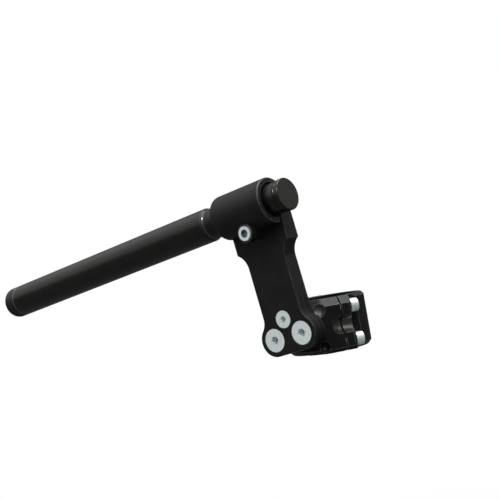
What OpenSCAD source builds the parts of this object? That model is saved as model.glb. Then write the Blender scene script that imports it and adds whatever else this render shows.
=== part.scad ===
// Raised clip-on handlebar for one side of a motorcycle fork.
// A split ring grips the fork tube, a milled riser is screwed to it, and the bar tube is
// pinched in the riser's head. Millimetres, +Z up the fork tube, origin at the fork ring's centre.

/* [Fork clamp] */
// Bore of the split ring, the fork tube's diameter
fork_d = 45; // [41:0.5:50]
// Wall of the ring around the bore
ring_wall = 4.2; // [4:0.2:8]
// Height of the ring along the fork tube
clamp_h = 34; // [33:0.5:44]
// Turn of the clamp's bolt direction away from the riser's face, a 3-4-5 triangle's angle
split_turn = 36.8699; // [30:0.0001:42]
// Distance of the split from the middle of the bore, towards the cap
split_at = 1.2; // [0:0.1:2]
// Gap between the two halves of the ring
split_gap = 0.8; // [0.4:0.1:1.6]
// Spacing of the bolts on one side, along the fork tube
bolt_pitch = 21; // [19:0.5:24]
// Height of the cap's lugs above the middle of the bore
cap_lug_t = 8.4; // [8:0.2:11]
// Thickness of the body's outer lug
body_lug_t = 10; // [9:0.25:12]
// Wall between the fork bore and the riser's face
boss_wall = 6.25; // [5:0.25:9]
// Corner chamfer of the lugs, seen along the fork tube
lug_chamfer = 4.6; // [3:0.1:5.5]
// Diameter of the relief groove milled between the bolts
relief_d = 10.4; // [8:0.2:11]

/* [Riser] */
// Height of the bar tube's axis above the middle of the fork clamp, along the riser
rise = 80.5; // [72:0.5:110]
// Droop of the bar tube below square to the fork tube
droop = 8; // [0:0.5:12]
// Thickness of the riser plate
plate_t = 11.5; // [10:0.5:15]
// Width of the riser's head and of its barrel
head_w = 41.8; // [38:0.2:50]
// Width of the riser's waist
waist_w = 30; // [26:0.5:32]
// Outside diameter of the barrel
barrel_d = 29; // [28:0.5:34]
// Radius of the two lobes at the riser's foot
lobe_r = 10.5; // [10:0.25:12]
// Sideways shift of the riser from the middle of the fork clamp
riser_shift = 1.8; // [0:0.1:4]
// Width of the slit that lets the barrel close on the tube
slit_w = 1.6; // [1:0.1:2.5]

/* [Bar tube] */
// Outside diameter of the bar tube
bar_d = 22; // [22:0.1:22.3]
// Bar tube from the barrel's middle to its outer end, with the end plug
bar_out = 239; // [200:1:260]
// Bar tube from the barrel's middle to the inner cap's face
bar_in = 33; // [31:0.5:45]
// Wall of the bar tube
bar_wall = 3.5; // [2.5:0.25:4]
// Diameter of the tube's turned-down inner length, from its shoulder through the barrel
neck_d = 19.8; // [19:0.1:20.6]

/* [Screws] */
// Diameter of the four clamp bolts
bolt_d = 5; // [4.8:0.1:5.2]
// Diameter of the pinch bolt
pinch_d = 6; // [5:0.5:6]
// Diameter of the two large countersunk screws
foot_screw_d = 8; // [7:0.5:8]
// Diameter of the small countersunk screw
top_screw_d = 6; // [5:0.5:6]

/* [Hidden] */
$fn = 96;
e = 0.01;
anodised = [0.11, 0.11, 0.115];
tube_black = [0.09, 0.088, 0.086];
zinc = [0.78, 0.80, 0.82];

// Clearances
hole_gap = 0.25;
thread_gap = 0.05;
bore_gap = 0.05;
sink_gap = 0.25;
sink_rim = 0.4;

// Fork clamp, in a frame turned so that +X points at the inner lugs and +Y from body to cap
bore_r = fork_d / 2;
ring_r = bore_r + ring_wall;
bolt_x = bore_r + bolt_d / 2 + 1.8;
lug_in = bolt_x + 4.6;
lug_out = bolt_x + 6.6;
head_r = bolt_d * 0.85;
head_h = bolt_d;
half_h = clamp_h / 2;
bolt_mid = -0.5;
ring_chamfer = 1.8;
inner_bolt_l = 16;
foot_screw_l = 16;
top_screw_l = 14;
outer_seat = -body_lug_t;
outer_bolt_l = body_lug_t + cap_lug_t + 1.2;
face_y = -(bore_r + boss_wall);
corner_r = 8;
pad_t = 18;
low_chamfer = 2.4;
out_low_chamfer = 6.4;
dimple_r = 6.4;
low_dimple_r = 3.4;
relief_in = 2.2;

// Riser, in its own frame: origin on the bar's axis, +X inboard, +Y towards the fork
barrel_r = barrel_d / 2;
bar_r = bar_d / 2;
neck_r = neck_d / 2;
plate_back = barrel_r;
plate_front = plate_back - plate_t;
bar_y = face_y - plate_back;
lobe_x = 10.8;
lobe_z = -rise - 1.9;
upper_screw_z = -rise + 9.2;
head_bottom = -24.8;
neck_fillet = 12;
foot_fillet = 10;
barrel_round = 3.2;
mouth_r = 12.3;
mouth_depth = 2.6;
slit_y = plate_front - slit_w;
ear_r = 5.8;
ear_back_r = 4.7;
ear_front = -11.2;
ear_l = 6.2;
pinch_x = 1.2;
pinch_z = -(barrel_r + 0.3);
pinch_head_r = 4.9;
pinch_seat = ear_front + 4.2;
pinch_head_h = 4.7;

// Bar tube
neck_out = -32.4;
shoulder_l = 2.8;
plug_l = 12.5;
plug_round = 5;
plug_spigot = 18;
cap_spigot = 12;
tube_out = -bar_out + plug_l;
cap_r = neck_r + 0.35;
cap_flange = 3.4;
tube_in = bar_in - cap_flange;
ring_groove_w = 1.6;
ring_groove_d = 0.8;
ring_groove_x = tube_in - 1.2 - ring_groove_w;

module clamp_frame() {
    rotate([0, 0, -split_turn]) children();
}

module riser_frame() {
    rotate([0, -droop, 0])
        translate([-riser_shift, bar_y, rise])
            children();
}

// A disc with its top edge chamfered by ct and its lower edge by cb, standing on its middle
module chamfered_disc(r, h, ct, cb) {
    rotate_extrude()
        polygon([[0, -h / 2], [r - cb, -h / 2], [r, -h / 2 + cb], [r, h / 2 - ct],
                 [r - ct, h / 2], [0, h / 2]]);
}

// A bar along Y whose +X edges are chamfered: from x0 to x1, y0 to y1
module chamfered_block(x0, x1, y0, y1, h, ct, cb) {
    translate([0, y1, 0])
        rotate([90, 0, 0])
            linear_extrude(height = y1 - y0)
                polygon([[x0, -h / 2], [x1 - cb, -h / 2], [x1, -h / 2 + cb],
                         [x1, h / 2 - ct], [x1 - ct, h / 2], [x0, h / 2]]);
}

// A socket-head screw, seat at the origin, head up +Z, shank down
module socket_screw(d, r, h, l) {
    difference() {
        union() {
            rotate_extrude()
                polygon([[0, 0], [r, 0], [r, h - 0.45], [r - 0.45, h], [0, h]]);
            rotate_extrude()
                polygon([[0, e], [d / 2, e], [d / 2, -l + 0.6], [d / 2 - 0.6, -l], [0, -l]]);
        }
        translate([0, 0, h * 0.45])
            cylinder(h = h, r = d * 0.46, $fn = 6);
        translate([0, 0, -l - e])
            cylinder(h = 0.5, r1 = d * 0.22, r2 = d * 0.08);
    }
}

// A countersunk screw, top face at the origin, shank down
module countersunk_screw(d, r, l) {
    difference() {
        rotate_extrude()
            polygon([[0, 0], [r, 0], [r, -sink_rim], [d / 2, -sink_rim - r + d / 2],
                     [d / 2, -l + 0.8], [d / 2 - 0.8, -l], [0, -l]]);
        translate([0, 0, -d * 0.42])
            cylinder(h = d, r = d * 0.36, $fn = 6);
    }
}

// The matching hole: the same cone, with room around the head's rim and the shank
module countersunk_hole(d, r, l) {
    rr = r + sink_gap;
    hr = d / 2 + hole_gap;
    rotate_extrude()
        polygon([[0, 1], [rr, 1], [rr, -sink_rim + sink_gap], [hr, -sink_rim - r + hr],
                 [hr, -l], [0, -l]]);
}

// Sets its children at both bolt heights on one side of the clamp
module at_bolts(x) {
    for (z = [bolt_mid - bolt_pitch / 2, bolt_mid + bolt_pitch / 2])
        translate([x, 0, z]) children();
}

module relief_groove(x) {
    translate([x, 0, bolt_mid])
        rotate([-90, 0, 0])
            cylinder(h = 60, d = relief_d);
}

// Places a countersunk screw or its hole on the riser's front face
module on_riser_face(x, z) {
    translate([x, plate_front, z])
        rotate([90, 0, 0])
            children();
}

module riser_holes() {
    for (s = [-1, 1])
        on_riser_face(s * lobe_x, lobe_z)
            countersunk_hole(foot_screw_d, foot_screw_d * 0.92, 40);
    on_riser_face(0, upper_screw_z)
        countersunk_hole(top_screw_d, top_screw_d * 0.92, 40);
}

// Straight holes in the clamp body for the three riser screws
module body_screw_holes() {
    for (s = [-1, 1])
        on_riser_face(s * lobe_x, lobe_z)
            translate([0, 0, -40])
                cylinder(h = 40, d = foot_screw_d + thread_gap * 2);
    on_riser_face(0, upper_screw_z)
        translate([0, 0, -40])
            cylinder(h = 40, d = top_screw_d + thread_gap * 2);
}

// The body half of the fork clamp: half ring, two lugs and the pad that carries the riser
module fork_clamp_body() {
    turn_x = lug_in - corner_r;
    corner_y = (face_y + corner_r + turn_x * sin(split_turn)) / cos(split_turn);
    corner_gx = turn_x * cos(split_turn) + corner_y * sin(split_turn);
    difference() {
        union() {
            rotate([0, 0, -90])
                chamfered_block(2, -face_y, 2, corner_gx, clamp_h, lug_chamfer, low_chamfer);
            clamp_frame()
                translate([turn_x, corner_y, 0])
                    chamfered_disc(corner_r, clamp_h, lug_chamfer, low_chamfer);
            clamp_frame()
                chamfered_block(8, lug_in, corner_y, split_at, clamp_h, lug_chamfer, low_chamfer);
            clamp_frame()
                mirror([1, 0, 0])
                    chamfered_block(8, lug_out, outer_seat, split_at, clamp_h, lug_chamfer, out_low_chamfer);
            chamfered_disc(ring_r, clamp_h, ring_chamfer, low_chamfer);
            riser_pad();
        }
        cylinder(h = clamp_h + 1, r = bore_r, center = true);
        clamp_frame() {
            translate([-100, split_at - split_gap / 2, -50]) cube([200, 200, 100]);
            // Room for the outer bolt heads beside the ring
            translate([-lug_out - 1, outer_seat - 40, -half_h - 1])
                cube([lug_out + 1 - (bolt_x - head_r - 0.4), 40, clamp_h + 2]);
            // Outer bolts pass through, inner bolts screw into blind holes
            at_bolts(-bolt_x)
                rotate([90, 0, 0])
                    cylinder(h = 60, d = bolt_d + hole_gap * 2, center = true);
            at_bolts(bolt_x)
                translate([0, cap_lug_t, 0])
                    rotate([90, 0, 0])
                        cylinder(h = inner_bolt_l + 1.2, d = bolt_d + thread_gap * 2);
            // Relief between the bolts: ball-ended on the inner side, open on the outer
            translate([0, split_at - relief_in, 0]) relief_groove(lug_in);
            translate([lug_in, split_at - relief_in, bolt_mid]) sphere(d = relief_d);
            translate([0, -40, 0]) relief_groove(-lug_out);
        }
        // Ball-nose pockets beside the riser, a large one above and a small one below
        translate([corner_gx + dimple_r / 2, face_y - dimple_r / 2, half_h - 5.6])
            sphere(r = dimple_r);
        translate([corner_gx + 2.6, face_y + 0.3, -half_h + 4.7])
            sphere(r = low_dimple_r);
        riser_frame() body_screw_holes();
    }
}

// The pad behind the riser's foot, cut to the same outline as the foot
module riser_pad() {
    riser_frame()
        translate([0, plate_back + pad_t, 0])
            rotate([90, 0, 0])
                linear_extrude(height = pad_t)
                    intersection() {
                        riser_outline();
                        translate([-50, lobe_z - 20]) square([58, 27]);
                    }
}

// The cap half of the fork clamp
module fork_clamp_cap() {
    clamp_frame() {
        difference() {
            union() {
                chamfered_disc(ring_r, clamp_h, ring_chamfer, low_chamfer);
                chamfered_block(8, lug_in, 0, cap_lug_t, clamp_h, lug_chamfer, low_chamfer);
                mirror([1, 0, 0])
                    chamfered_block(8, lug_out, 0, cap_lug_t, clamp_h, lug_chamfer, out_low_chamfer);
            }
            cylinder(h = clamp_h + 1, r = bore_r, center = true);
            translate([-100, split_at + split_gap / 2 - 200, -50]) cube([200, 200, 100]);
            // Seats for the inner bolt heads, run out into the ring
            translate([bolt_x - head_r - 0.4, cap_lug_t, -half_h - 1])
                cube([40, 40, clamp_h + 2]);
            // Long chamfers on the ends of the lugs
            lug_end_chamfer(lug_in, 1.6, 1.6);
            mirror([1, 0, 0]) lug_end_chamfer(lug_out, 2.8, 2.6);
            at_bolts(bolt_x)
                rotate([90, 0, 0])
                    cylinder(h = 60, d = bolt_d + hole_gap * 2, center = true);
            at_bolts(-bolt_x) {
                rotate([90, 0, 0])
                    cylinder(h = 60, d = bolt_d + thread_gap * 2, center = true);
                translate([0, cap_lug_t + e, 0])
                    rotate([90, 0, 0])
                        cylinder(h = 1, r1 = bolt_d / 2 + 1, r2 = bolt_d / 2);
            }
            translate([0, -20, 0]) relief_groove(lug_in);
            translate([0, -20, 0]) relief_groove(-lug_out);
        }
    }
}

// Cuts the cap's edge at the end of a lug: x along the lug, y along the bolts
module lug_end_chamfer(x, cx, cy) {
    translate([x, cap_lug_t - cy, -half_h - 1])
        linear_extrude(height = clamp_h + 2)
            polygon([[1, 0], [0, 0], [-cx, cy], [-cx, cy + 2], [1, cy + 2]]);
}

module clamp_bolt_inner(s) {
    clamp_frame()
        translate([bolt_x, cap_lug_t, bolt_mid + s * bolt_pitch / 2])
            rotate([-90, 0, 0])
                socket_screw(bolt_d, head_r, head_h, inner_bolt_l);
}

module clamp_bolt_outer(s) {
    clamp_frame()
        translate([-bolt_x, outer_seat, bolt_mid + s * bolt_pitch / 2])
            rotate([90, 0, 0])
                socket_screw(bolt_d, head_r, head_h, outer_bolt_l);
}

// The riser's outline, seen from the front
module riser_outline() {
    w = waist_w / 2;
    hw = head_w / 2;
    fx = w + foot_fillet;
    fz = lobe_z + sqrt(pow(lobe_r + foot_fillet, 2) - pow(fx - lobe_x, 2));
    nx = w + neck_fillet;
    nz = head_bottom - sqrt(pow(neck_fillet, 2) - pow(nx - hw, 2));
    difference() {
        union() {
            translate([-hw, head_bottom]) square([head_w, -head_bottom]);
            translate([-hw, nz]) square([head_w, head_bottom - nz + e]);
            translate([-w, lobe_z]) square([waist_w, nz - lobe_z + e]);
            translate([-lobe_x, lobe_z - lobe_r]) square([lobe_x * 2, lobe_r + 2]);
            for (s = [-1, 1]) {
                translate([s * lobe_x, lobe_z]) circle(r = lobe_r);
                foot_web(s, w, fx, fz);
            }
        }
        for (s = [-1, 1]) {
            translate([s * nx, nz]) circle(r = neck_fillet);
            translate([s * fx, fz]) circle(r = foot_fillet);
            translate([s * (hw + 5), nz - 5]) square([10, 10], center = true);
        }
    }
}

// Fills between a lobe and the waist before the foot fillet is cut
module foot_web(s, w, fx, fz) {
    k = lobe_r / (lobe_r + foot_fillet);
    tx = lobe_x + k * (fx - lobe_x);
    tz = lobe_z + k * (fz - lobe_z);
    polygon([[s * (w - 6), fz], [s * w, fz], [s * tx, tz], [s * lobe_x, lobe_z], [0, lobe_z]]);
}

// The barrel: a straight cylinder with its outboard edge well rounded
module barrel() {
    hw = head_w / 2;
    rotate([0, 90, 0])
        rotate_extrude()
            difference() {
                union() {
                    translate([0, -hw]) square([barrel_r - barrel_round, head_w]);
                    translate([0, -hw + barrel_round])
                        square([barrel_r, head_w - barrel_round - 0.5]);
                    translate([barrel_r - barrel_round, -hw + barrel_round])
                        circle(r = barrel_round);
                    polygon([[0, 0], [barrel_r, hw - 0.5], [barrel_r - 0.5, hw], [0, hw]]);
                }
                translate([-50, -50]) square([50, 100]);
            }
}

// The riser: plate, barrel, clamping ear and slit, milled from one block
module riser() {
    riser_frame() {
        difference() {
            union() {
                translate([0, plate_back, 0])
                    rotate([90, 0, 0])
                        linear_extrude(height = plate_t)
                            riser_outline();
                barrel();
                translate([pinch_x, ear_front + ear_l, pinch_z])
                    rotate([90, 0, 0])
                        cylinder(h = ear_l, r = ear_r);
                translate([pinch_x, slit_y + e, pinch_z])
                    rotate([90, 0, 0])
                        cylinder(h = slit_y - ear_front - 1, r = ear_back_r);
            }
            // Bore with an open mouth at the inner end and a small one at the outer
            rotate([0, 90, 0]) {
                cylinder(h = head_w + 2, r = neck_r + bore_gap, center = true);
                translate([0, 0, head_w / 2 - mouth_depth])
                    cylinder(h = mouth_depth + 1, r = mouth_r);
                translate([0, 0, -head_w / 2 - e])
                    cylinder(h = 1.2, r1 = neck_r + 1.2, r2 = neck_r);
            }
            // Slit under the bore
            translate([-head_w / 2 - 1, slit_y, -barrel_r - 12])
                cube([head_w + 2, slit_w, 12 + barrel_r - 6]);
            // Pinch bolt hole, through the ear and out of the back of the plate
            translate([pinch_x, 0, pinch_z])
                rotate([90, 0, 0]) {
                    cylinder(h = 60, d = pinch_d - 1, center = true);
                    translate([0, 0, -plate_back + 4])
                        cylinder(h = 60, d = pinch_d + thread_gap * 2);
                    translate([0, 0, -slit_y])
                        cylinder(h = 60, d = pinch_d + hole_gap * 2);
                    translate([0, 0, -pinch_seat])
                        cylinder(h = 60, r = pinch_head_r + hole_gap);
                }
            riser_holes();
        }
    }
}

module pinch_bolt() {
    riser_frame()
        translate([pinch_x, pinch_seat, pinch_z])
            rotate([90, 0, 0])
                socket_screw(pinch_d, pinch_head_r, pinch_head_h, plate_back - pinch_seat - 5);
}

module riser_screw(x, z, d, l) {
    riser_frame()
        on_riser_face(x, z)
            countersunk_screw(d, d * 0.92, l);
}

// The bar tube: plain grip length, shoulder, turned-down inner length with a ring groove
module bar_tube() {
    riser_frame()
        rotate([0, 90, 0])
            rotate_extrude()
                polygon([[bar_r - bar_wall, tube_out], [bar_r - 0.3, tube_out],
                         [bar_r, tube_out + 0.3], [bar_r, neck_out],
                         [neck_r, neck_out + shoulder_l], [neck_r, ring_groove_x],
                         [neck_r - ring_groove_d, ring_groove_x],
                         [neck_r - ring_groove_d, ring_groove_x + ring_groove_w],
                         [neck_r, ring_groove_x + ring_groove_w],
                         [neck_r, tube_in - 0.3], [neck_r - 0.3, tube_in],
                         [bar_r - bar_wall, tube_in]]);
}

// A turned end piece on the tube's axis: spigot down, face up, edge rounded by round_r
module turned_end(r, l, round_r, spigot) {
    rotate_extrude()
        difference() {
            union() {
                translate([0, -spigot]) square([bar_r - bar_wall - bore_gap, spigot + e]);
                polygon([[0, 0], [r - 0.35, 0], [r, 0.35], [r, l - round_r], [0, l - round_r]]);
                square([r - round_r, l]);
                translate([r - round_r, l - round_r]) circle(r = round_r);
            }
            translate([-50, -50]) square([50, 100]);
        }
}

module bar_end_plug() {
    riser_frame()
        translate([tube_out, 0, 0])
            rotate([0, -90, 0])
                turned_end(bar_r, plug_l, plug_round, plug_spigot);
}

module bar_inner_cap() {
    riser_frame()
        translate([tube_in, 0, 0])
            rotate([0, 90, 0])
                turned_end(cap_r, cap_flange, 0.6, cap_spigot);
}

// Open spring ring seated in the groove of the tube's inner end
module bar_stop_ring() {
    riser_frame()
        translate([ring_groove_x + 0.1, 0, 0])
            rotate([0, 90, 0])
                difference() {
                    cylinder(h = ring_groove_w - 0.2, r = neck_r + 0.2);
                    translate([0, 0, -1]) cylinder(h = 4, r = neck_r - ring_groove_d + 0.02);
                    translate([2, -2.5, -1]) cube([20, 5, 4]);
                }
}

color(anodised) fork_clamp_body();
color(anodised) fork_clamp_cap();
color(zinc) clamp_bolt_inner(1);  // clamp_bolt_inner_upper
color(zinc) clamp_bolt_inner(-1);  // clamp_bolt_inner_lower
color(zinc) clamp_bolt_outer(1);  // clamp_bolt_outer_upper
color(zinc) clamp_bolt_outer(-1);  // clamp_bolt_outer_lower
color(anodised) riser();
color(zinc) riser_screw(-lobe_x, lobe_z, foot_screw_d, foot_screw_l);  // riser_screw_left
color(zinc) riser_screw(lobe_x, lobe_z, foot_screw_d, foot_screw_l);  // riser_screw_right
color(zinc) riser_screw(0, upper_screw_z, top_screw_d, top_screw_l);  // riser_screw_upper
color(zinc) pinch_bolt();
color(tube_black) bar_tube();
color(tube_black) bar_end_plug();
color(tube_black) bar_inner_cap();
color(zinc) bar_stop_ring();
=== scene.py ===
import bmesh
import bpy
import math
from mathutils import Matrix, Vector
from mathutils.bvhtree import BVHTree


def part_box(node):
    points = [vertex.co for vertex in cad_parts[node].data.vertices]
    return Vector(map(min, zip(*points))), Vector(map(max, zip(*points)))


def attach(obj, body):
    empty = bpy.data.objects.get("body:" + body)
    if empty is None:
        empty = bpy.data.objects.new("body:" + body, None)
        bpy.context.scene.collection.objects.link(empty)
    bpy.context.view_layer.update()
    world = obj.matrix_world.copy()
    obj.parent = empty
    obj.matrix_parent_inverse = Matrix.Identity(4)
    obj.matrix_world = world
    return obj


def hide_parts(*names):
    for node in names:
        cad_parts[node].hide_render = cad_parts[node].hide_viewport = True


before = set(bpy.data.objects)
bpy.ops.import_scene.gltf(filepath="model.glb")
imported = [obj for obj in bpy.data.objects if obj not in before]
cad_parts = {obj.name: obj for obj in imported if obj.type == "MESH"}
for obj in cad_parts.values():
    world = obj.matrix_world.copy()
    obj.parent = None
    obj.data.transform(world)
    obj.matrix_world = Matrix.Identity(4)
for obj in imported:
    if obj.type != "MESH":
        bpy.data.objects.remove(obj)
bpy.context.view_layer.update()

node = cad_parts

# The camera: 0.74 m away at the height of the fork clamp, rolled a few degrees to one side. The picture is
# square, so the lens follows from the fitted focal length in pixels over the picture's width.
camera_place = Vector((0.43174, -0.59885, 0.05047))
camera_right = Vector((0.76562879, 0.61953871, -0.17315987))
camera_down = Vector((-0.13831849, -0.10433647, -0.98487658))
camera_ahead = Vector((-0.62823607, 0.77800108, 0.00581065))
focal_pixels = 1145.917
picture_pixels = 500
film_width = 36
camera = bpy.data.objects.new("camera", bpy.data.cameras.new("camera"))
bpy.context.scene.collection.objects.link(camera)
camera.data.sensor_width = film_width
camera.data.lens = film_width * focal_pixels / picture_pixels
camera.data.clip_start = 0.01
camera.data.clip_end = 60
turn = Matrix((camera_right, -camera_down, -camera_ahead)).transposed()
camera.matrix_world = Matrix.Translation(camera_place) @ turn.to_4x4()
bpy.context.scene.camera = camera
bpy.context.scene.view_settings.view_transform = "Standard"


# The studio lamps: a large soft box over the part, faintly cool, which lights every face that looks up, a small
# one in front for the glint on the tube's shoulder, and one high on the right for the rims of barrel and cap.
def soft_box(name, place, aim, side, power, colour=(1, 1, 1)):
    lamp = bpy.data.lights.new(name, "AREA")
    lamp.shape = "RECTANGLE"
    lamp.size = lamp.size_y = side
    lamp.energy = power
    lamp.color = colour
    holder = bpy.data.objects.new(name, lamp)
    bpy.context.scene.collection.objects.link(holder)
    holder.location = place
    holder.rotation_euler = (Vector(aim) - Vector(place)).to_track_quat("-Z", "Y").to_euler()


soft_box("overhead_soft_box", (0.15, 0.15, 1.3), (-0.05, 0, 0.05), 0.9, 16, (0.94, 1.0, 0.985))
soft_box("front_soft_box", (-0.232, -0.867, 1.063), (-0.045, -0.043, 0.075), 0.14, 1.3)
soft_box("right_soft_box", (0.835, -0.563, 0.973), (0, -0.04, 0.03), 0.32, 6)


# The light tent: plain white all round as the camera sees it. What the part mirrors is a pale roof, the white
# backdrop behind it from just above the horizon, a panel on the left, and a dim room in front and below.
class Socket:
    """One value or link in a node tree, so that shader maths reads as arithmetic."""

    def __init__(self, tree, value):
        self.tree, self.value = tree, value

    def math(self, operation, *others):
        made = self.tree.nodes.new("ShaderNodeMath")
        made.operation = operation
        for i, item in enumerate((self, *others)):
            put(self.tree, made.inputs[i], item)
        return Socket(self.tree, made.outputs[0])

    def __add__(self, other): return self.math("ADD", other)
    def __radd__(self, other): return self.math("ADD", other)
    def __sub__(self, other): return self.math("SUBTRACT", other)
    def __rsub__(self, other): return Socket(self.tree, other).math("SUBTRACT", self)
    def __mul__(self, other): return self.math("MULTIPLY", other)
    def __rmul__(self, other): return self.math("MULTIPLY", other)
    def __pow__(self, other): return self.math("POWER", other)

    def between(self, low, high):
        """0 below low, 1 above high, smooth between."""
        return self.node("ShaderNodeMapRange", {"interpolation_type": "SMOOTHSTEP"},
                         {"Value": self, "From Min": low, "From Max": high})

    def band(self, start, end, edge):
        """1 from start to end, 0 outside, with a soft edge of the given width inside each end."""
        return self.between(start, start + edge) * (1 - self.between(end - edge, end))

    def mix(self, low, high):
        """The colour low where this is 0 and high where it is 1."""
        return self.node("ShaderNodeMix", {"data_type": "RGBA"}, {0: self, 6: low, 7: high}, output=2)

    def vector(self, operation, first, *second, output="Value"):
        return self.node("ShaderNodeVectorMath", {"operation": operation},
                         dict(enumerate((first, *second))), output=output)

    def node(self, kind, settings=None, values=None, output=0):
        made = self.tree.nodes.new(kind)
        for key, value in (settings or {}).items():
            setattr(made, key, value)
        for key, value in (values or {}).items():
            put(self.tree, made.inputs[key], value)
        return Socket(self.tree, made.outputs[output])


def put(tree, target, item):
    """Links a socket to an input, or writes a plain value on it."""
    if isinstance(item, Socket) and isinstance(item.value, bpy.types.NodeSocket):
        tree.links.new(item.value, target)
        return
    value = item.value if isinstance(item, Socket) else item
    if hasattr(value, "__len__") and len(value) == 3 and len(target.default_value) == 4:
        value = (*value, 1)
    target.default_value = value


def mirror_ray(start):
    """1 where a ray comes from a glossy or a clear surface."""
    return (start.node("ShaderNodeLightPath", output="Is Glossy Ray")
            + start.node("ShaderNodeLightPath", output="Is Transmission Ray"))


def towards(way):
    """How nearly a direction of the sky points along a given way."""
    return sky.vector("DOT_PRODUCT", direction, way)


world = bpy.data.worlds.new("light_tent")
bpy.context.scene.world = world
world.use_nodes = True
sky = Socket(world.node_tree, 0.0)
seen = sky.node("ShaderNodeLightPath", output="Is Camera Ray")
mirrored = mirror_ray(sky)
direction = sky.node("ShaderNodeTexCoord", output="Generated")
height = sky.node("ShaderNodeSeparateXYZ", {}, {0: direction}, output="Z")
panel = towards((-0.55, -0.70, 0.45)).between(0.0, 0.75) * height.between(0.12, 0.34)
backdrop = (towards((0.50, 0.85, 0.17)).between(0.5, 0.95) * height.between(0.06, 0.18)
            * (mirrored * 0.15 + 0.35))
frame_line = height.between(0.56, 0.60) * (1 - height.between(0.64, 0.68)) * 0.35
roof = height.between(0.68, 1.0) * 0.82 + height.between(0.1, 0.4) * 0.06
dark_corner = towards((0.45, 0.89, 0.0)).between(0.1, 0.7) * 0.10
tent = (panel * (frame_line + 0.42) + roof).math("MAXIMUM", backdrop) + 0.14 - dark_corner
tint = seen.mix(height.between(0.2, 0.8).mix((1.0, 0.99, 0.94), (0.94, 1.0, 0.99)), (1, 1, 1))
background = world.node_tree.nodes["Background"]
put(world.node_tree, background.inputs["Color"], tint)
put(world.node_tree, background.inputs["Strength"], seen + (1 - seen) * (tent + (1 - mirrored) * 0.16))


# The floor: a plain pale sweep well below the clamp. The camera sees it almost white with the part's shadow,
# and the part mirrors it as a dim plain surface.
floor_depth = 0.42
floor_width = 9


def new_material(name, **fixed):
    """A material with a Principled shader: returns it, a Socket on its tree, the shader and Object coordinates."""
    made = bpy.data.materials.new(name)
    made.use_nodes = True
    tree = made.node_tree
    shader = tree.nodes["Principled BSDF"]
    for key, value in fixed.items():
        put(tree, shader.inputs[key.replace("_", " ")], value)
    start = Socket(tree, 0.0)
    place = start.node("ShaderNodeTexCoord", output="Object")
    return made, start, shader, place


bpy.ops.object.select_all(action="DESELECT")
bpy.ops.mesh.primitive_plane_add(size=floor_width, location=(0, 0, -floor_depth))
floor = bpy.context.object
floor.name = "floor"
paint, start, shader, place = new_material("floor_paint", Base_Color=(0.2, 0.2, 0.2), Roughness=0.9)
shown = start.node("ShaderNodeLightPath", output="Is Camera Ray")
lit = start.node("ShaderNodeEmission", {}, {"Color": (1, 1, 1), "Strength": shown * 0.87 + 0.13})
away = start.vector("LENGTH", place)
blend = paint.node_tree.nodes.new("ShaderNodeMixShader")
put(start.tree, blend.inputs[0], shown * (away.between(0.3, 1.5) * 0.1 + 0.9) + mirror_ray(start))
put(start.tree, blend.inputs[1], Socket(start.tree, shader.outputs[0]))
put(start.tree, blend.inputs[2], lit)
put(start.tree, paint.node_tree.nodes["Material Output"].inputs["Surface"], Socket(start.tree, blend.outputs[0]))
floor.data.materials.append(paint)


# The fork clamp body: half of the split ring with its boss, milled from aluminium bar and black anodised.
# Its edges are broken by hand, and their rounds are painted lighter: a painted highlight for the light the edges
# catch. It carries the riser.
edge_break = 0.0003
sharp_angle = 32
stray_limit = 0.00017
bolt_way = (0.6, 0.8, 0.0)
pocket_middle = (0.016887, -0.031950, 0.0114)
pocket_r = 0.00643
groove_on_axis = (0.02512, -0.01884, -0.0005)
groove_end = (0.02452, -0.01964, -0.0005)
groove_r = 0.00521


def broken_edges(name):
    """A copy of a CAD node with merged points and small rounds on its sharp edges, which takes its place."""
    piece = node[name].copy()
    piece.data = node[name].data.copy()
    piece.name = name + "_finished"
    bpy.context.scene.collection.objects.link(piece)
    bpy.ops.object.select_all(action="DESELECT")
    piece.select_set(True)
    bpy.context.view_layer.objects.active = piece
    bpy.ops.object.mode_set(mode="EDIT")
    bpy.ops.mesh.select_all(action="SELECT")
    bpy.ops.mesh.remove_doubles(threshold=1e-6)
    bpy.ops.mesh.dissolve_limited(angle_limit=math.radians(0.3))
    bpy.ops.object.mode_set(mode="OBJECT")
    bpy.ops.object.shade_smooth()
    bevel = piece.modifiers.new("edge_break", "BEVEL")
    bevel.width, bevel.segments = edge_break, 2
    bevel.limit_method, bevel.angle_limit = "ANGLE", math.radians(sharp_angle)
    bevel.use_clamp_overlap = False
    bevel.material = 1
    normals = piece.modifiers.new("flat_faces", "WEIGHTED_NORMAL")
    normals.weight = 80
    piece.data.materials.clear()
    piece.data.materials.append(None)
    piece.data.materials.append(None)
    bpy.ops.object.modifier_apply(modifier="edge_break")
    # Where two sharp edges run almost into one line the rounds overshoot: those points go back to the surface
    surface = BVHTree.FromPolygons([v.co.copy() for v in node[name].data.vertices],
                                   [face.vertices[:] for face in node[name].data.polygons])
    shape = bmesh.new()
    shape.from_mesh(piece.data)
    stray = {v for v in shape.verts if surface.find_nearest(v.co)[3] > stray_limit}
    for v in stray:
        near = [e.other_vert(v).co for e in v.link_edges if e.other_vert(v) not in stray]
        if near:
            v.co = surface.find_nearest(sum(near, Vector()) / len(near))[0]
    shape.to_mesh(piece.data)
    shape.free()
    bpy.ops.object.modifier_apply(modifier="flat_faces")
    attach(piece, "root")
    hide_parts(name)
    return piece


def dot(start, place, centre, direction):
    """The coordinate of a place along a direction, from a centre."""
    return start.vector("DOT_PRODUCT", start.vector("SUBTRACT", place, centre, output=0), direction)


def radius(start, place, centre, direction):
    """The distance of a place from an axis."""
    total = start.vector("LENGTH", start.vector("SUBTRACT", place, centre, output=0))
    along = dot(start, place, centre, direction)
    return (total * total - along * along).math("MAXIMUM", 0.0) ** 0.5


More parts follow.
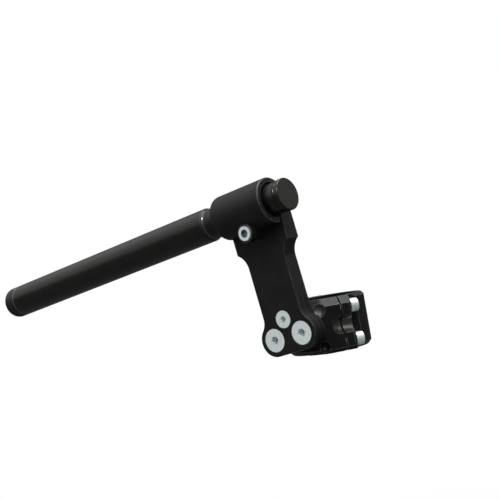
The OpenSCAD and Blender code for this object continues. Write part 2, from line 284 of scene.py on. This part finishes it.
def lines(start, coordinate, per_metre):
    """Uneven parallel lines, as a cutter leaves: noise that changes along one coordinate only."""
    return start.node("ShaderNodeTexNoise", {"noise_dimensions": "1D"},
                      {"W": coordinate, "Scale": per_metre, "Detail": 3.0, "Roughness": 0.65})


def speckle(start, place, per_metre, detail=2.0):
    return start.node("ShaderNodeTexNoise", {}, {"Vector": place, "Scale": per_metre, "Detail": detail})


def bump(start, shader, height, distance, strength):
    normal = start.node("ShaderNodeBump", {}, {"Strength": strength, "Distance": distance, "Height": height})
    put(start.tree, shader.inputs["Normal"], normal)


def faces_along(start, direction):
    """1 on faces that look along a direction or against it, 0 on faces that turn away from it."""
    facing = start.node("ShaderNodeTexCoord", output="Normal")
    return start.vector("DOT_PRODUCT", facing, direction).math("ABSOLUTE").between(0.75, 0.97)


def edge_highlight_coat(name, base):
    """A lighter, smoother material for a broken edge: a painted highlight for the light the edge catches, mottled at
    random.
    """
    made, start, shader, place = new_material(name, Metallic=0.25, Specular_IOR_Level=0.5)
    highlight_mottle = speckle(start, place, 420.0).between(0.35, 0.7)
    put(start.tree, shader.inputs["Base Color"], highlight_mottle.mix(tuple(v * 0.4 for v in base), base))
    put(start.tree, shader.inputs["Roughness"], speckle(start, place, 1500.0) * 0.2 + 0.25)
    return made


# Painted highlight: the rounds on the body's and cap's edges are coloured much lighter than the black coat
clamp_edge_highlight = edge_highlight_coat("clamp_edge_highlight", (0.09, 0.092, 0.088))
clamp_black, start, shader, place = new_material("clamp_black", Specular_IOR_Level=0.27)
upright = start.node("ShaderNodeSeparateXYZ", {}, {0: place}, output="Z")
grain = speckle(start, place, 2600.0)
cloud = speckle(start, place, 130.0, 4.0)
flat = faces_along(start, (0, 0, 1))
passes = lines(start, upright, 1500.0)
around = lines(start, radius(start, place, (0, 0, 0), (0, 0, 1)), 1700.0)
cut = passes * (1 - flat) + around * flat
black = cloud.between(0.3, 0.7).mix((0.0032, 0.0033, 0.0033), (0.0056, 0.0056, 0.0053))
# The ball-nose pockets and the groove between the bolts are cut bright, and the coat over them shines more
from_pocket = start.vector("DISTANCE", place, pocket_middle)
from_groove = radius(start, place, groove_on_axis, bolt_way)
from_groove_end = start.vector("DISTANCE", place, groove_end)
along_groove = dot(start, place, groove_end, bolt_way)
groove = (1 - from_groove.between(groove_r, groove_r + 0.00006)) * along_groove.between(-0.0001, 0.0001)
groove = groove.math("MAXIMUM", 1 - from_groove_end.between(groove_r, groove_r + 0.00006))
bright_cut = (1 - from_pocket.between(pocket_r, pocket_r + 0.00007)).math("MAXIMUM", groove)
put(start.tree, shader.inputs["Base Color"], bright_cut.mix(black, (0.14, 0.137, 0.13)))
put(start.tree, shader.inputs["Metallic"], bright_cut * 0.9)
put(start.tree, shader.inputs["Roughness"], grain * 0.08 + cut * 0.12 + cloud * 0.06 + 0.32 - bright_cut * 0.08)
bump(start, shader, grain * 0.4 + cut, 0.00001, 0.7)
clamp_body = broken_edges("fork_clamp_body")
clamp_body.data.materials[0], clamp_body.data.materials[1] = clamp_black, clamp_edge_highlight

# The fork clamp cap: the other half of the ring, milled and anodised with the body and bolted to it.
# It was cut from the same bar, so its cutter marks run round it at the same pitch.
clamp_cap = broken_edges("fork_clamp_cap")
clamp_cap.data.materials[0], clamp_cap.data.materials[1] = clamp_black, clamp_edge_highlight


# The four clamp bolts: M5 cap screws of zinc plated steel. The plating is bright and a little blue, with faint
# turned rings on the end of each head, and the hexagon socket is painted dark blue-grey as painted shade in its
# recess.
def show_as(name, material):
    """Gives a CAD node one material."""
    slots = node[name].data.materials
    slots.clear()
    slots.append(material)


def zinc_plated(name, axis, metal, roughness, socket_r, side=1.0):
    """Zinc plate on one screw, with its turned rings about the screw's own axis, and its sides painted darker by the
    factor side as painted shade.
    """
    low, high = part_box(name)
    centre = tuple((Vector(low) + Vector(high)) / 2)
    made, start, shader, place = new_material(name + "_zinc", Metallic=metal, Specular_IOR_Level=0.5)
    out = radius(start, place, centre, axis)
    rings = lines(start, out, 2300.0)
    patches = speckle(start, place, 520.0, 3.0)
    end = faces_along(start, axis)
    # Painted shade: the hexagon socket is coloured dark blue-grey for the shade in its recess
    painted_socket_shade = 1 - out.between(socket_r * 0.92, socket_r * 1.04)
    plate = (patches * 0.6 + rings * end * 0.4).between(0.3, 0.75).mix((0.74, 0.80, 0.815), (0.93, 0.955, 0.955))
    colour = painted_socket_shade.mix(plate, (0.26, 0.38, 0.45))
    # Painted shade: the sides of the head are darkened by the factor side
    if side < 1:
        painted_side_shade = end.mix((side, side, side), (1, 1, 1))
        colour = start.node("ShaderNodeMix", {"data_type": "RGBA", "blend_type": "MULTIPLY"},
                            {0: 1.0, 6: colour, 7: painted_side_shade}, output=2)
    put(start.tree, shader.inputs["Base Color"], colour)
    put(start.tree, shader.inputs["Roughness"], rings * end * 0.15 + patches * 0.12 + roughness)
    bump(start, shader, rings * end + patches * 0.3, 0.00002, 0.6)
    show_as(name, made)


for name in ("clamp_bolt_inner_upper", "clamp_bolt_inner_lower", "clamp_bolt_outer_upper", "clamp_bolt_outer_lower"):
    zinc_plated(name, bolt_way, 0.4, 0.24, 0.0020)


# The riser: one milled plate with the split barrel on top, black anodised after machining. Its faces are fine
# and dull, the profile shows the passes of the cutter, and the barrel was bored and turned with the bar's droop.
bar_middle = (-0.012986, -0.04325, 0.079466)
bar_way = (-0.990268, 0.0, -0.139173)
mouth_lip = -0.0209
lip_depth = 0.0006
lip_from, lip_to = 0.0115, 0.0130
lip_narrowing = 0.0012
# Painted highlight: the rounds on the riser's edges are coloured much lighter than the black coat
riser_edge_highlight = edge_highlight_coat("riser_edge_highlight", (0.075, 0.077, 0.073))
riser_black, start, shader, place = new_material("riser_black", Specular_IOR_Level=0.24)
depth = start.node("ShaderNodeSeparateXYZ", {}, {0: place}, output="Y")
upright = start.node("ShaderNodeSeparateXYZ", {}, {0: place}, output="Z")
plate_face = faces_along(start, (0, 1, 0))
barrel_zone = 1 - radius(start, place, bar_middle, bar_way).between(0.0152, 0.0158)
grain = speckle(start, place, 2600.0)
cloud = speckle(start, place, 110.0, 4.0)
profile_passes = lines(start, depth, 620.0) * (1 - plate_face)
turned = lines(start, dot(start, place, bar_middle, bar_way), 1400.0)
cut = profile_passes * (1 - barrel_zone) + turned * barrel_zone
# The deeper passes are painted as near-black streaks that fade out higher up: cutter marks, and painted shade low
# round the foot
pass_streaks_and_shade = (1 - profile_passes.between(0.36, 0.60)) * (1 - plate_face) * (1 - barrel_zone)
pass_streaks_and_shade = pass_streaks_and_shade * (1 - upright.between(0.016, 0.030) * 0.7)
black = cloud.between(0.3, 0.7).mix((0.0104, 0.0104, 0.0103), (0.0143, 0.0143, 0.0139))
put(start.tree, shader.inputs["Base Color"], pass_streaks_and_shade.mix(black, (0.0015, 0.0015, 0.0015)))
put(start.tree, shader.inputs["Roughness"],
    grain * 0.08 + pass_streaks_and_shade * 0.22 + turned * barrel_zone * 0.14 + cloud * 0.06 + 0.32)
bump(start, shader, grain * 0.2 + cut, 0.00003, 0.6)
riser = broken_edges("riser")
# The mouth of the bore is a little narrower at its lip, which leaves a wider turned face round it
for v in riser.data.vertices:
    out = v.co - Vector(bar_middle)
    along_bar = out.dot(Vector(bar_way))
    away = out - Vector(bar_way) * along_bar
    if abs(along_bar - mouth_lip) < lip_depth and lip_from < away.length < lip_to:
        narrower = (away.length - lip_narrowing) / away.length
        v.co = Vector(bar_middle) + Vector(bar_way) * along_bar + away * narrower
riser.data.materials[0], riser.data.materials[1] = riser_black, riser_edge_highlight

# The riser's screws: two large countersunk screws at the foot and a smaller one above them, zinc plated steel,
# sunk flush in the plate. Their faces are dull silver with turned rings, and their small sockets are painted dark as
# painted shade.
plate_way = (0, 1, 0)
for name, socket_r in (("riser_screw_left", 0.0019), ("riser_screw_right", 0.0019), ("riser_screw_upper", 0.0015)):
    zinc_plated(name, plate_way, 0.10, 0.42, socket_r)

# The bar tube and its inner cap: 22 mm aluminium tube, turned down to a neck for the barrel, and anodised
# satin black. It is smoother than the milled pieces and mirrors the roof as a band along its upper side.
# The start of its shoulder and the rims at its ends are worn bright.
tube_black, start, shader, place = new_material("tube_black", Specular_IOR_Level=0.55)
along = dot(start, place, bar_middle, bar_way)
turned = lines(start, along, 900.0)
cloud = speckle(start, place, 90.0, 4.0)
grain = speckle(start, place, 3000.0)
neck = along.between(0.0200, 0.0204) * (1 - along.between(0.0290, 0.0293))
shoulder = along.band(0.0295, 0.0309, 0.0002)
cone = along.band(0.0307, 0.0325, 0.0002)
outer_rim = along.band(0.22605, 0.22695, 0.00015)
cap_joint = along.band(-0.03005, -0.02915, 0.0001)
cap_rim = 1 - along.between(-0.03265, -0.0324)
turned_face = faces_along(start, bar_way) * (1 - along.between(-0.0325, -0.0320))
face_rings = lines(start, radius(start, place, bar_middle, bar_way), 1500.0)
shine = (shoulder + (outer_rim + cap_joint + cap_rim) * (1 - turned_face)).math("MINIMUM", 1.0)
black = cloud.between(0.3, 0.7).mix((0.0040, 0.0039, 0.0037), (0.0064, 0.0061, 0.0056))
# Painted shade: the neck is coloured near black for the shade in the gap at the barrel's end
black = neck.mix(black, (0.0016, 0.0015, 0.0014))
dull = ((neck + cone) * 0.18 + turned * 0.10 * (1 - turned_face) + turned_face * (face_rings * 0.2 + 0.03)
        + grain * 0.05 + cloud * 0.06 + 0.18)
put(start.tree, shader.inputs["Roughness"], dull * (1 - shine) + shine * 0.08 + shoulder * 0.12)
worn = shoulder.mix((0.060, 0.057, 0.053), (0.130, 0.124, 0.115))
put(start.tree, shader.inputs["Base Color"], shine.mix(black, worn))
put(start.tree, shader.inputs["Metallic"], shine * 0.9)
bump(start, shader, turned * (1 - turned_face) + face_rings * turned_face * 2.0 + grain * 0.1, 0.000006, 0.12)
for name in ("bar_tube", "bar_inner_cap"):
    show_as(name, tube_black)

# The end plug: a moulded black plastic plug with a rounded end, pressed into the tube up to its rim. It is
# duller and a little greyer than the tube, and its rim is painted light grey against the tube's end: a painted
# highlight, a fine light ring.
plug_plastic, start, shader, place = new_material("plug_plastic", Specular_IOR_Level=0.5)
along = dot(start, place, bar_middle, bar_way)
pebble = speckle(start, place, 1900.0, 3.0)
scuff = speckle(start, place, 160.0, 5.0).between(0.52, 0.72)
# Painted highlight: the plug's rim is coloured light grey
plug_rim_highlight = 1 - along.between(0.22690, 0.22710)
moulded = scuff.mix((0.0085, 0.0084, 0.0081), (0.0135, 0.0132, 0.0127))
put(start.tree, shader.inputs["Base Color"], plug_rim_highlight.mix(moulded, (0.10, 0.10, 0.098)))
put(start.tree, shader.inputs["Roughness"], pebble * 0.14 + scuff * 0.08 + 0.40 - plug_rim_highlight * 0.18)
bump(start, shader, pebble, 0.00003, 0.5)
show_as("bar_end_plug", plug_plastic)

# The stop ring: a snap ring of blued spring steel. It sits in its groove in the neck, just inside the inner
# cap, and keeps the tube from being pulled out through the barrel.
ring_blue, start, shader, place = new_material("ring_blue", Metallic=1.0)
tint = speckle(start, place, 300.0, 3.0)
put(start.tree, shader.inputs["Base Color"], tint.mix((0.045, 0.043, 0.041), (0.11, 0.10, 0.095)))
put(start.tree, shader.inputs["Roughness"], tint * 0.2 + 0.25)
show_as("bar_stop_ring", ring_blue)

# The pinch bolt: an M6 zinc plated cap screw through the barrel's ears, which closes the slit on the bar.
# Its head shows end-on and bright, and the side of the head is painted dark: painted shade under the barrel.
zinc_plated("pinch_bolt", plate_way, 0.08, 0.36, 0.0026, side=0.25)
